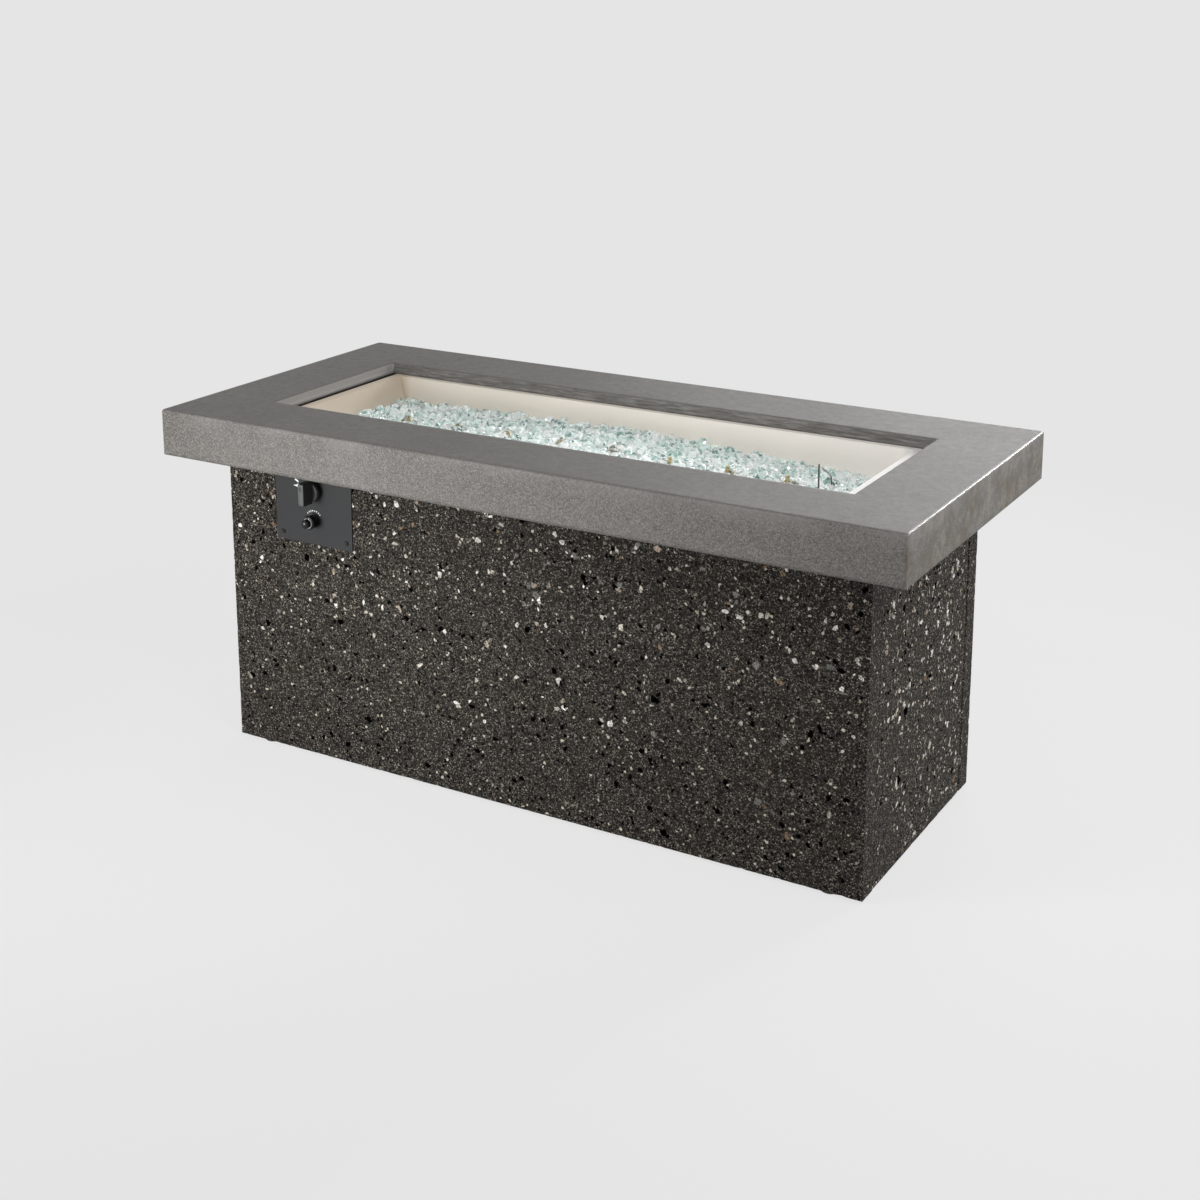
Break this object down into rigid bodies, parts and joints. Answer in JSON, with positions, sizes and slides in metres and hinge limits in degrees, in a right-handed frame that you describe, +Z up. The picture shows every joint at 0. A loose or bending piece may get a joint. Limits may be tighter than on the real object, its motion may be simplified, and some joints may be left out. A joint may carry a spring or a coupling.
{
  "type": "gas fire pit table",
  "caption": "Rectangular gas fire pit table: overhanging cast top with a long glass-filled burner pan, flecked panel base, gas knob and push-button igniter, removable back panel.",
  "frame": {"origin": "on the floor under the middle of the table", "axes": "+X along the top's length to the right seen from the front, -Y to the front with the control plate, +Z up"},
  "size_m": [1.372, 0.63, 0.622],
  "materials": {
    "cast_top": "cast concrete, warm grey, satin sealed",
    "fleck_panel": "cast panel, charcoal with pale stone and shell flecks, rough",
    "pan_steel": "satin stainless sheet",
    "burner_steel": "stainless tube and fittings",
    "jet_brass": "turned brass",
    "aqua_glass": "tumbled clear aqua glass pebbles",
    "black_coat": "black powder coat, fine texture",
    "frame_coat": "black powder coat on steel",
    "zinc_steel": "bright zinc plated",
    "black_plastic": "black moulded plastic, satin",
    "bright_ring": "polished chrome",
    "spark_ceramic": "white glazed ceramic",
    "dark_rod": "heat-darkened steel rod",
    "pad_rubber": "black rubber pad",
    "lead_silicone": "black silicone cover",
    "magnet_case": "dark plastic case",
    "cell_sleeve": "plain sleeve without print"
  },
  "bodies": {
    "table": {"top_slab": "cast_top", "front_panel": "fleck_panel", "left_end_panel": "fleck_panel", "right_end_panel": "fleck_panel", "cylinder_tray": "frame_coat", "front_bottom_rail": "frame_coat", "rear_bottom_rail": "frame_coat", "rear_top_rail": "frame_coat", "front_pan_rail": "zinc_steel", "rear_pan_rail": "zinc_steel", "foot_inserts": "zinc_steel", "locating_pins": "zinc_steel", "left_magnetic_catch": "magnet_case", "right_magnetic_catch": "magnet_case", "burner_pan": "pan_steel", "burner_tube": "burner_steel", "burner_jets": "jet_brass", "burner_saddles": "burner_steel", "burner_inlet_nipple": "burner_steel", "pan_locknut": "zinc_steel", "air_mixer": "jet_brass", "gas_orifice": "jet_brass", "electrode_bracket": "burner_steel", "electrode_ceramic": "spark_ceramic", "ground_rod": "dark_rod", "electrode_wire": "dark_rod", "fire_glass": "aqua_glass", "control_plate": "black_coat", "gas_valve": "jet_brass", "gas_inlet_fitting": "jet_brass", "gas_outlet_fitting": "jet_brass", "gas_connector_hose": "burner_steel", "igniter_housing": "black_plastic", "igniter_locknut": "black_plastic", "igniter_battery": "cell_sleeve", "battery_spring": "zinc_steel", "igniter_cap": "black_plastic", "igniter_bezel": "bright_ring", "ignition_lead": "lead_silicone", "lead_clips": "zinc_steel", "plate_screws": "black_coat", "valve_screws": "zinc_steel", "panel_screws": "zinc_steel", "post_screws": "zinc_steel", "rail_screws": "zinc_steel", "front_left_post": "frame_coat", "front_right_post": "frame_coat", "rear_left_post": "frame_coat", "rear_right_post": "frame_coat"},
    "back_panel": {"back_panel": "fleck_panel", "strike_plates": "zinc_steel"},
    "plug": {"valve_plug": "jet_brass"},
    "knob": {"valve_stem": "jet_brass", "control_knob": "black_plastic"},
    "button": {"igniter_button": "black_plastic"},
    "front_left_foot_body": {"front_left_foot": "pad_rubber"},
    "front_right_foot_body": {"front_right_foot": "pad_rubber"},
    "rear_left_foot_body": {"rear_left_foot": "pad_rubber"},
    "rear_right_foot_body": {"rear_right_foot": "pad_rubber"}
  },
  "joints": [
    {"name": "knob_turn", "type": "hinge", "parent": "table", "child": "plug", "pos_m": [-0.4185, -0.215, 0.495], "axis": [0, -1, 0], "range_deg": [0, 180]},
    {"name": "knob_press", "type": "slide", "parent": "plug", "child": "knob", "axis": [0, 1, 0], "range_m": [0, 0.003], "stiffness_N_per_m": 2000, "springref_m": -0.002},
    {"name": "igniter_press", "type": "slide", "parent": "table", "child": "button", "axis": [0, 1, 0], "range_m": [0, 0.004], "stiffness_N_per_m": 800, "springref_m": -0.002},
    {"name": "back_panel_pull", "type": "slide", "parent": "table", "child": "back_panel", "axis": [0, 1, 0], "range_m": [0, 0.3]},
    {"name": "front_left_foot_height", "type": "slide", "parent": "table", "child": "front_left_foot_body", "axis": [0, 0, -1], "range_m": [0, 0.012]},
    {"name": "front_right_foot_height", "type": "slide", "parent": "table", "child": "front_right_foot_body", "axis": [0, 0, -1], "range_m": [0, 0.012]},
    {"name": "rear_left_foot_height", "type": "slide", "parent": "table", "child": "rear_left_foot_body", "axis": [0, 0, -1], "range_m": [0, 0.012]},
    {"name": "rear_right_foot_height", "type": "slide", "parent": "table", "child": "rear_right_foot_body", "axis": [0, 0, -1], "range_m": [0, 0.012]}
  ]
}
